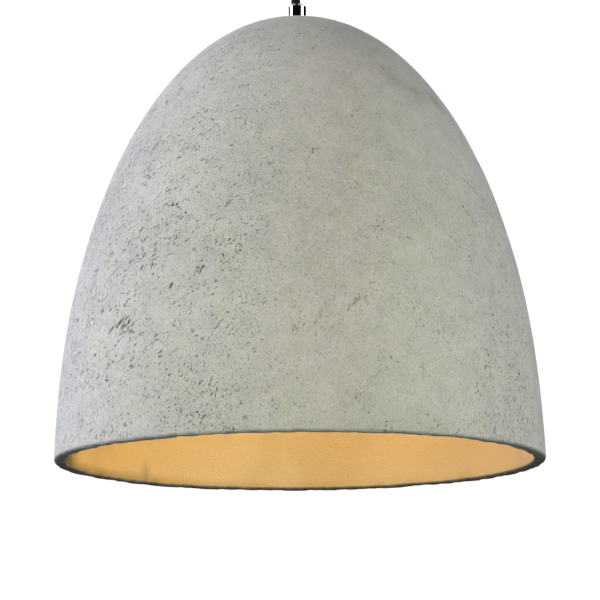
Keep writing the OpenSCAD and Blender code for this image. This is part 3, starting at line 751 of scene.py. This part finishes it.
# the long streak low on the left, and the pits, rows and knots round it
LEFT_MARKS = [
    Gouge(-47, 96, 13, 3.2, 40, 1.3), Gouge(-50, 91, 15, 2.2, 42, 1.0), Gouge(-45, 98, 9, 2.0, 35, 0.9),
    Gouge(-46, 92, 8, 2.0, 50, 0.9), Gouge(-43, 87, 7, 1.8, 55, 0.8), Gouge(-55, 108, 6, 2.8, 45, 1.2),
    Gouge(-45, 170, 7, 1.9, 55, 0.9), Gouge(-42, 138, 6, 2.0, 60, 0.8), Gouge(-32, 120, 8, 2.4, 55, 0.9),
    Gouge(-36, 75, 8, 0.9, 38, 0.5), Gouge(-29, 127, 2.4, 1.6, 20, 0.5), Gouge(-16, 77, 3.2, 1.5, 70, 0.5),
    Gouge(-43, 13, 2.8, 1.6, 60, 0.8), Gouge(-42, 21, 2.4, 1.6, 80, 0.8),
    *row(-47, 84, -42, 93, 5, 5.5, 1.6, 48, 0.8, 3),
    *row(-46, 89, -43, 96, 4, 5.0, 1.5, 45, 0.8, 4),
    *row(-31, 105, -24, 116, 6, 4.4, 1.1, 38, 0.45, 5, spread=0.6),
    *row(-39, 190, -33, 185, 6, 3.2, 1.4, 20, 0.8, 6),
    *row(-33, 185, -30, 177, 6, 3.2, 1.4, 110, 0.8, 7),
    *row(-58, 258, -52, 240, 5, 3.4, 1.1, 60, 0.5, 49),
    *knot(-43, 61, 8, 7, 55, 20), *knot(-48, 65, 6, 5, 50, 21),
    *knot(-53, 182, 9, 8, 60, 22), *knot(-47, 187, 9, 7, 45, 23),
    *knot(-45, 116, 9, 8, 50, 24), *knot(-60, 99, 8, 6, 60, 25),
    *knot(-25, 132, 8, 8, 60, 26), *knot(-17, 144, 9, 6, 85, 27),
    *knot(-50, 60, 10, 8, 55, 32), *knot(-40, 150, 10, 8, 50, 33),
    *knot(-65, 270, 10, 9, 50, 39), *knot(-46, 247, 10, 9, 50, 43),
    *knot(-31, 233, 9, 7, 55, 44), *knot(-27, 218, 9, 7, 60, 45),
    *knot(-48, 218, 9, 8, 50, 46), *knot(-37, 146, 9, 8, 50, 47),
    *knot(-32, 155, 8, 6, 55, 48), *knot(-16, 150, 8, 8, 60, 50),
]

# the row of pits high on the right, and the smaller ones below it
RIGHT_MARKS = [
    Gouge(17, 117, 2.4, 1.5, 90, 0.5), Gouge(0, 88, 2.6, 1.4, 80, 0.5), Gouge(38, 308, 4.4, 2.0, 130, 0.9),
    Gouge(19, 58, 4.0, 1.2, 60, 0.5), Gouge(13, 103, 3.0, 1.6, 30, 0.45),
    *row(40, 298, 48, 291, 5, 3.0, 1.4, 120, 0.6, 8),
    *row(50, 289, 62, 286, 7, 3.0, 1.3, 140, 0.7, 9),
    *row(60, 265, 65, 255, 5, 2.8, 1.2, 125, 0.6, 10),
    *row(62, 237, 67, 225, 5, 2.8, 1.2, 120, 0.6, 11),
    *row(54, 217, 64, 201, 10, 4.0, 1.5, 130, 0.9, 12),
    *row(50, 190, 54, 177, 7, 3.6, 1.4, 115, 0.8, 13),
    *row(46, 224, 46, 212, 5, 3.0, 1.2, 100, 0.6, 59),
    *row(42, 162, 45, 154, 4, 3.0, 1.2, 115, 0.6, 60),
    *row(62, 184, 67, 157, 12, 3.6, 1.4, 110, 0.8, 61),
    *row(34, 151, 35, 138, 5, 2.6, 1.1, 100, 0.5, 62),
    *row(3, 83, 8, 106, 14, 3.4, 1.2, 62, 0.38, 14, spread=2.2),
    *knot(20, 161, 9, 12, 60, 63, depth=0.36),
    *knot(15, 156, 6, 6, 20, 64, length=2.6, width=1.1, depth=0.32),
    *knot(18, 117, 7, 7, 40, 65, length=2.8, width=1.1, depth=0.32),
    *knot(13, 106, 8, 8, 75, 66, depth=0.36), *knot(34, 82, 6, 7, 90, 67, depth=0.34),
    *knot(20, 60, 8, 7, 80, 68, depth=0.4), *knot(13, 103, 7, 6, 80, 28),
    *knot(0, 83, 8, 6, 70, 29), *knot(60, 90, 8, 5, 95, 34),
    *knot(50, 60, 9, 6, 85, 35), *knot(64, 60, 6, 4, 100, 36),
    *knot(45, 40, 8, 5, 80, 37), *knot(57, 33, 7, 5, 95, 38),
]

# the small marks near the crown, and those just above the rim
CROWN_AND_RIM_MARKS = [
    *knot(-4, 344, 8, 7, 20, 51, length=2.6, width=1.1),
    *knot(1, 339, 4, 4, 30, 52, length=2.2, width=1.2),
    *knot(14, 341, 6, 5, 140, 53, length=3.6, width=1.2),
    *knot(-15, 349, 7, 6, 40, 54, length=2.6, width=1.1),
    *knot(-24, 336, 9, 7, 40, 55, length=2.8, width=1.1),
    *knot(25, 338, 9, 6, 130, 56, length=2.8, width=1.1),
    *knot(-10, 322, 8, 6, 30, 42),
    Gouge(-1, 21, 2.6, 1.4, 30, 0.5), Gouge(1, 19, 2.0, 1.4, 10, 0.5),
    *knot(-24, 13, 8, 7, 60, 57, length=2.6, width=1.2),
    *knot(-15, 4, 6, 6, 50, 58, length=2.4, width=1.2),
    *knot(38, 4, 5, 5, 40, 30), *knot(-50, 8, 7, 6, 50, 31),
    *knot(30, 6, 10, 6, 60, 40), *knot(20, 6, 9, 5, 60, 41),
]


GOUGES_ALL_ROUND = 420
GOUGES_SEED = 11


def marks_all_round():
    """Knots of small gouges all round, fewer over the front."""
    rng = random.Random(GOUGES_SEED)
    made = []
    while len(made) < GOUGES_ALL_ROUND:
        azimuth = rng.uniform(-180, 180)
        height = rng.uniform(0.02, 0.93) * SHADE_HEIGHT / MM
        if -40 < azimuth < 75 and rng.random() < 0.6:
            continue
        lean = rng.gauss(48, 16) if -80 < azimuth < 15 else rng.gauss(115, 20)
        made += knot(azimuth, height, rng.uniform(3, 12), rng.randint(2, 7), lean, rng.random(),
                     length=rng.uniform(2.2, 4.2), width=rng.uniform(0.9, 1.5), depth=rng.uniform(0.3, 0.7))
    return made


# a gouge at least this deep gets the full painted shade in its hollow
FULL_SHADE_DEPTH = 0.75 * MM


def hollows(place, gouges, lining):
    """How deep each point lies in a gouge, in metres, and how much painted shade it gets there, from 0 to
    1.
    """
    depth = np.zeros(len(place))
    pit_shade = np.zeros(len(place))
    tree = kdtree.KDTree(len(place))
    for i, p in enumerate(place):
        if lining[i] < 0.5:
            tree.insert(p, i)
    tree.balance()
    for g in gouges:
        found = np.array([index for _, index, _ in tree.find_range(g.centre, g.half_length * 1.5)], int)
        if not len(found):
            continue
        off = place[found] - np.array(g.centre)
        p = off @ np.array(g.along) / g.half_length
        q = off @ np.array(g.across) / g.half_width
        rough = noisy(place[found], 620)
        # a ragged ellipse, narrower towards its ends, with eased walls
        out = np.sqrt(p * p + (q / (1 - 0.45 * np.clip(p * p, 0, 1))) ** 2) + 0.32 * rough
        inside = np.clip((1 - out) / 0.45, 0, 1)
        inside = inside * inside * (3 - 2 * inside)
        depth[found] = np.maximum(depth[found], inside * g.depth * (1 + 0.35 * rough))
        pit_shade[found] = np.maximum(pit_shade[found], inside * min(1, g.depth / FULL_SHADE_DEPTH))
    return depth, pit_shade


# ---- painted shade and warm light, grime and stains ----

def shade_and_grime_at(place, height, lining):
    """Painted shade under the rim, with some grime in it, thinner at the front, and creeping a little way
    up the lining on the left.
    """
    azimuth = np.arctan2(place[:, 0], -place[:, 1])
    front = np.clip(np.cos(azimuth), 0, 1)
    left = np.clip(-np.sin(azimuth), 0, 1)
    shade_under_rim = np.sqrt(np.clip(1 - height / EDGE_RADIUS, 0, 1)) * (1 - 0.78 * front)
    creep = np.clip(1 - height / ((3 + 6 * left) * MM), 0, 1) ** 1.2 * (0.35 + 0.45 * left)
    far_left = np.clip((left - 0.962) / 0.035, 0, 1) * np.clip(1.5 - height / (24 * MM), 0, 1) * 0.9
    return np.maximum(shade_under_rim, np.where(lining > 0.5, np.maximum(creep, far_left), 0))


def warm_light_tint_at(place, height, lining):
    """Painted warm light down the lining's left side, fading out above and to the right."""
    left = np.clip((-place[:, 0] / BODY_RADIUS - 0.1) / 0.85, 0, 1)
    low = np.clip(1.5 - height / (150 * MM), 0, 1)
    share = left * low
    return np.where(lining > 0.5, share * share * (3 - 2 * share), 0)


# where the upper stain runs, the middle of the darkening along the rim's front, and the thumbed spot, with
# its sizes in mm
STAIN_RUN = ((41, 300), (50, 290), (62, 287))
STAIN_REACH = 17 * MM
HEM_AZIMUTH = 23
THUMBED = (-0.69 * LINING_RADIUS, 0.72 * LINING_RADIUS, RIM_Z + 9 * MM)
THUMBED_SIZE = (3.6, 3.6, 6)


def stain_at(place, height):
    """A soft grey-green stain along the row of pits high on the right, a faint darkening along the rim's
    front, and a thumbed spot on the lining."""
    run = [np.array(on_face(*spot)) for spot in STAIN_RUN]
    away = np.min([np.linalg.norm(place - spot, axis=1) for spot in run], axis=0)
    high = np.clip(1 - away / STAIN_REACH, 0, 1) ** 1.3
    azimuth = np.degrees(np.arctan2(place[:, 0], -place[:, 1]))
    hem = np.clip(1.1 - height / (20 * MM), 0, 1) * np.clip(1.5 - np.abs(azimuth - HEM_AZIMUTH) / 16, 0, 1)
    from_spot = np.linalg.norm((place - np.array(THUMBED)) / np.array(THUMBED_SIZE), axis=1) / MM
    return np.max([0.55 * high, 0.25 * hem, 0.9 * np.clip(1.6 - from_spot, 0, 1)], axis=0)


# ---- the shade ----

REFINE_LEVELS = 3
WORN_EDGE = 9 * MM
FLAT_CROWN_RADIUS = 26 * MM


def cast_shade():
    """The shade's plain wall in the making. Each vertex knows how far down the wall it is."""
    outline = shade_outline()
    radii, heights, lining = (np.array(column) for column in zip(*outline))
    run = np.concatenate([[0], np.cumsum(np.hypot(np.diff(radii), np.diff(heights)))])
    turns = np.arange(SHADE_AROUND) * 2 * math.pi / SHADE_AROUND
    x = np.outer(radii, np.cos(turns))
    y = np.outer(radii, np.sin(turns))
    z = np.repeat(heights[:, None] + RIM_Z, SHADE_AROUND, axis=1)
    bm = bmesh.new()
    run_layer = bm.verts.layers.float.new("run")
    lining_layer = bm.verts.layers.float.new("lining")
    made = [bm.verts.new(v) for v in np.stack([x, y, z], axis=2).reshape(-1, 3)]
    for i, vertex in enumerate(made):
        vertex[run_layer] = float(run[i // SHADE_AROUND])
        vertex[lining_layer] = float(lining[i // SHADE_AROUND])
    for face in closed_rings(len(outline), SHADE_AROUND):
        bm.faces.new([made[i] for i in face])
    bm.normal_update()
    return bm, run_layer, lining_layer


def refine(bm, gouges):
    """Halves the faces near the gouges, so that each gouge is a real hollow."""
    for level in range(REFINE_LEVELS):
        tree = kdtree.KDTree(len(bm.faces))
        bm.faces.ensure_lookup_table()
        for face in bm.faces:
            tree.insert(face.calc_center_median(), face.index)
        tree.balance()
        cell = FACE_SIZE / 2 ** level
        edges = set()
        for g in gouges:
            for centre, index, _ in tree.find_range(g.centre, g.half_length + cell):
                off = centre - g.centre
                beside = abs(off.dot(g.along)) < g.half_length + 0.6 * cell
                if beside and abs(off.dot(g.across)) < g.half_width + 0.6 * cell:
                    edges.update(bm.faces[index].edges)
        ordered = sorted(edges, key=lambda e: e.index)
        bmesh.ops.subdivide_edges(bm, edges=ordered, cuts=1, use_grid_fill=True)
        bm.edges.index_update()
        bm.faces.index_update()
        bm.faces.ensure_lookup_table()


def wear(place, height, lining):
    """How far the cast wall stands off its outline, in metres: wavy, but flat where the fittings
    clamp the crown, and chipped and lumpy along the rim."""
    wavy = 0.45 * noisy(place, 11) + 0.16 * noisy(place, 37)
    chipped = noisy(place, 170) + 0.6 * noisy(place, 430)
    lumpy = noisy(place, 52, (7, 3, 1))
    edge = np.clip(1 - height / WORN_EDGE, 0, 1)
    worn = edge * (np.clip(chipped, -1, 0.3) * 0.9 + np.clip(lumpy, -0.6, 0.25) * 0.5)
    from_crown = np.hypot(place[:, 0], place[:, 1]) - FLAT_CROWN_RADIUS
    off_crown = np.clip(from_crown / (20 * MM), 0, 1)
    return (wavy * off_crown * np.where(lining > 0.5, 0.5, 1.0) + worn) * MM


def make_shade():
    bm, run_layer, lining_layer = cast_shade()
    gouges = LEFT_MARKS + RIGHT_MARKS + CROWN_AND_RIM_MARKS + marks_all_round()
    refine(bm, gouges)
    bm.normal_update()
    bm.verts.ensure_lookup_table()
    place = np.array([v.co for v in bm.verts])
    normal = np.array([v.normal for v in bm.verts])
    run = np.array([v[run_layer] for v in bm.verts])
    lining = np.array([v[lining_layer] for v in bm.verts])
    height = place[:, 2] - RIM_Z
    depth, pit_shade = hollows(place, gouges, lining)
    moved = place + normal * (wear(place, height, lining) - depth)[:, None]
    for vertex, co in zip(bm.verts, moved):
        vertex.co = co
    mesh = bpy.data.meshes.new("concrete_shade")
    bm.to_mesh(mesh)
    bm.free()
    mesh.shade_smooth()
    shade = in_scene("concrete_shade", mesh)
    # the material also reads the lining layer that the mesh was made with
    store(shade, "skin", np.column_stack([place[:, 0], place[:, 1], -run]), "FLOAT_VECTOR")
    store(shade, "pit_shade", pit_shade)
    store(shade, "under", shade_and_grime_at(place, height, lining))
    store(shade, "stain", stain_at(place, height))
    store(shade, "warm_light_tint", warm_light_tint_at(place, height, lining))
    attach(shade, "pendant")
    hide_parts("shade")
    return shade


# ---- turned pieces: outlines of a radius and a Z, in mm ----

def eased(points, reach, steps=5):
    """The closed outline with each corner rounded, starting up to a reach in mm before it."""
    made = []
    count = len(points)
    for i, point in enumerate(points):
        tip = Vector(point)
        before = Vector(points[i - 1]) - tip
        after = Vector(points[(i + 1) % count]) - tip
        a = tip + before.normalized() * min(reach, before.length * 0.42)
        b = tip + after.normalized() * min(reach, after.length * 0.42)
        for k in range(steps + 1):
            t = k / steps
            made.append(tuple((1 - t) ** 2 * a + 2 * t * (1 - t) * tip + t * t * b))
    return made


def filled(points, spacing):
    """The closed outline with points added along its long straight stretches."""
    made = []
    for (r, z), (to_r, to_z) in zip(points, points[1:] + points[:1]):
        steps = max(1, math.ceil(math.hypot(to_r - r, to_z - z) / spacing))
        made += [(r + (to_r - r) * i / steps, z + (to_z - z) * i / steps) for i in range(steps)]
    return made


def turned(name, outline, node, body, around, shape=None):
    """A piece turned round Z from a closed outline, in the place of a CAD node.
    shape(radius, z, angle) gives a point's radius where it isn't plainly round."""
    vertices = []
    for r, z in outline:
        for k in range(around):
            angle = 2 * math.pi * k / around
            radius = shape(r, z, angle) if shape else r
            vertices.append((radius * math.cos(angle) * MM, radius * math.sin(angle) * MM, z * MM))
    piece = new_piece(name, vertices, closed_rings(len(outline), around))
    bm = bmesh.new()
    bm.from_mesh(piece.data)
    bmesh.ops.recalc_face_normals(bm, faces=bm.faces)
    bm.to_mesh(piece.data)
    bm.free()
    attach(piece, body)
    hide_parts(node)
    slot = next(part["material_slot"] for part in frame["record"]["subparts"] if part["node"] == node)
    piece.data.materials.append(FINISHES[slot])


def span_of(node):
    """A node's lowest and highest Z and its outer radius, in mm."""
    low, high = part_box(node)
    return low.z / MM, high.z / MM, high.x / MM


E27_PITCH = 3.629
E27_CREST = 13.1
E27_ROOT = 12.1
THREAD_TURNS = 5
RINGS_A_TURN = 14
CAP_SHEET = 0.35
CAP_SKIRT = 13.4


def make_bulb_cap():
    """The bulb's screw cap, rolled from thin sheet with a true right-hand thread."""
    low, high, _ = span_of("bulb_cap")
    top = high - 0.4
    first = top - 1.6
    last = top - 1.6 - THREAD_TURNS * E27_PITCH
    middle = (E27_CREST + E27_ROOT) / 2
    wave = (E27_CREST - E27_ROOT) / 2
    rings = THREAD_TURNS * RINGS_A_TURN
    thread = [(middle, first + (last - first) * i / rings) for i in range(rings + 1)]
    shoulder = [(9.25, top + 0.4), (10.8, top + 0.1), (11.8, top - 0.6)]
    skirt = [(CAP_SKIRT, low + 1.5), (CAP_SKIRT, low), (CAP_SKIRT - CAP_SHEET, low),
             (CAP_SKIRT - CAP_SHEET, low + 1.4)]
    inside = [(r - CAP_SHEET, z) for r, z in reversed(thread)]
    inside += [(11.5, top - 0.8), (10.7, top - 0.25), (9.25, top)]

    def threaded(radius, z, angle):
        if not last - 0.01 <= z <= first + 0.01:
            return radius
        fade = min(1, (first - z) / 1.2, (z - last) / 0.8)
        return radius + wave * max(0, fade) * math.cos(2 * math.pi * z / E27_PITCH - angle)

    outline = shoulder + thread + skirt + inside
    turned("bulb_screw_cap", outline, "bulb_cap", "bulb", around=96, shape=threaded)


def make_bulb_body():
    """The bulb's white body: a soft-edged cone with shallow cooling flutes."""
    low, high, wide = span_of("bulb_housing")
    neck = 11.6
    wall = 1.4
    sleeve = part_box("bulb_cap")[0].z / MM
    outer = [(neck, high), (neck, sleeve - 0.05), (14.2, sleeve - 0.05), (15, sleeve - 1),
             (17.5, sleeve - 12), (22.5, sleeve - 24), (wide, low + 1), (wide, low)]
    inner = [(wide - 1.2 - wall, low), (wide - 1.2 - wall, low + 1), (22.5 - wall, sleeve - 22.8),
             (17.5 - wall, sleeve - 11), (neck - wall + 0.6, sleeve - 1.4), (neck - wall, high)]

    def fluted(radius, z, angle):
        share = (sleeve - 3 - z) / (sleeve - 3 - (low + 3))
        if not 0 < share < 1 or radius < 14 or radius < 13.2 + (wide - 14.5) * share ** 1.3:
            return radius
        fade = min(1, 6 * share, 6 * (1 - share))
        return radius - 0.22 * fade * max(0, math.cos(36 * angle)) ** 2

    outline = filled(eased(outer + inner, 0.9), 1.2)
    turned("bulb_body", outline, "bulb_housing", "bulb", around=288, shape=fluted)


def make_bulb_dome():
    """The opal dome: a thin shell of two arcs, with a step where it snaps into the body."""
    low, high, wide = span_of("bulb_diffuser")
    wide_z = high + 0.05 - 9
    drop = wide_z - low
    wall = 1.0
    collar = wide - 1.1
    step = 0.45
    shoulder = high - 1.2
    quarter = [math.pi / 2 * i / 40 for i in range(40)] + [math.pi / 2 * 0.995]
    outer = [(collar, high), (collar, high - 0.6), (wide - step, shoulder)]
    outer += [(wide - step + step * math.sin(math.pi / 2 * i / 6), shoulder - (shoulder - wide_z) * i / 6)
              for i in range(1, 6)]
    outer += [(wide * math.cos(a), wide_z - drop * math.sin(a)) for a in quarter]
    inner = [((wide - wall) * math.cos(a), wide_z - (drop - wall) * math.sin(a)) for a in reversed(quarter)]
    outline = outer + inner + [(collar - wall, high)]
    turned("bulb_dome", outline, "bulb_diffuser", "bulb", around=128)


def make_holder_skirt():
    """The lampholder's screw-on skirt, ribbed for the fingers."""
    low, high, wide = span_of("holder_skirt")
    cap_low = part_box("holder_cap")[0].z / MM
    insert_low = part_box("holder_insert")[0].z / MM
    neck = wide - 1.3
    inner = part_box("holder_insert")[1].x / MM + 0.1
    mouth = 19.5
    outline = [(inner, high), (neck, high), (neck, cap_low - 0.02), (wide, cap_low - 0.02),
               (wide, cap_low - 9), (wide - 0.5, cap_low - 9.5), (mouth, low + 1), (mouth - 0.8, low),
               (mouth - 1.8, low), (mouth - 1.8, low + 10), (17, cap_low - 12), (17, insert_low),
               (inner, insert_low)]

    def ribbed(radius, z, angle):
        line = wide - 0.5 + (mouth - wide + 0.5) * (cap_low - 9.5 - z) / (cap_low - 9.5 - low - 1)
        if abs(radius - line) > 0.3 or not low + 2 < z < cap_low - 10:
            return radius
        fade = min(1, (z - low - 2) / 2, (cap_low - 10 - z) / 2)
        return radius - 0.42 * fade * (0.5 + 0.5 * math.cos(40 * angle)) ** 2

    outline = filled(eased(outline, 0.45, 3), 1.5)
    turned("lampholder_skirt", outline, "holder_skirt", "pendant", around=320, shape=ribbed)


def make_gland():
    """The outlet's moulded gland: a fluted collar over a flared mouth."""
    low, high, wide = span_of("canopy_gland")
    cup_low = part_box("canopy_cup")[0].z / MM
    outline = [(4.3, high), (4.6, high), (5, high - 0.4), (5, cup_low - 0.02), (wide, cup_low - 0.02),
               (wide, cup_low - 2.5), (wide - 0.8, cup_low - 3.3), (wide - 1, low + 0.5), (wide - 1.4, low),
               (7.3, low), (4.3, PIVOT_Z / MM)]

    def fluted(radius, z, angle):
        if radius < wide - 0.35 or not cup_low - 2.4 < z < cup_low - 0.3:
            return radius
        return radius - 0.32 * (0.5 + 0.5 * math.cos(30 * angle)) ** 2

    outline = filled(eased(outline, 0.25, 3), 0.5)
    turned("outlet_gland", outline, "canopy_gland", "ceiling_rose", around=240, shape=fluted)


# ---- CAD pieces that stay, and the bulb's light ----

def dress_cad():
    for part in frame["record"]["subparts"]:
        node = frame["nodes"][part["node"]]
        node.data.materials.clear()
        node.data.materials.append(FINISHES[part["material_slot"]])


GLOW_WATTS = 4.55
GLOW_COLOUR = (1.0, 0.53, 0.17)
GLOW_BELOW_TOP = 9 * MM


def make_glow():
    """The lit bulb's light, from inside its dome, which lets it through."""
    dome_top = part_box("bulb_diffuser")[1]
    lamp = bpy.data.lights.new("bulb_glow", "POINT")
    lamp.energy = GLOW_WATTS
    lamp.color = GLOW_COLOUR
    lamp.shadow_soft_size = 0.8 * dome_top.x
    glow = in_scene("bulb_glow", lamp)
    glow.location = (0, 0, dome_top.z - GLOW_BELOW_TOP)
    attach(glow, "bulb")
    for name in ("bulb_diffuser", "bulb_dome"):
        bpy.data.objects[name].visible_shadow = False


make_camera()
cord = make_cord()
make_world()
make_floor()
make_softboxes()
shade = make_shade()
FINISHES = make_finishes()
cord.data.materials.append(FINISHES["black_braid"])
shade.data.materials.append(FINISHES["concrete"])
dress_cad()
make_bulb_cap()
make_bulb_body()
make_bulb_dome()
make_holder_skirt()
make_gland()
make_glow()
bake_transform(cord)
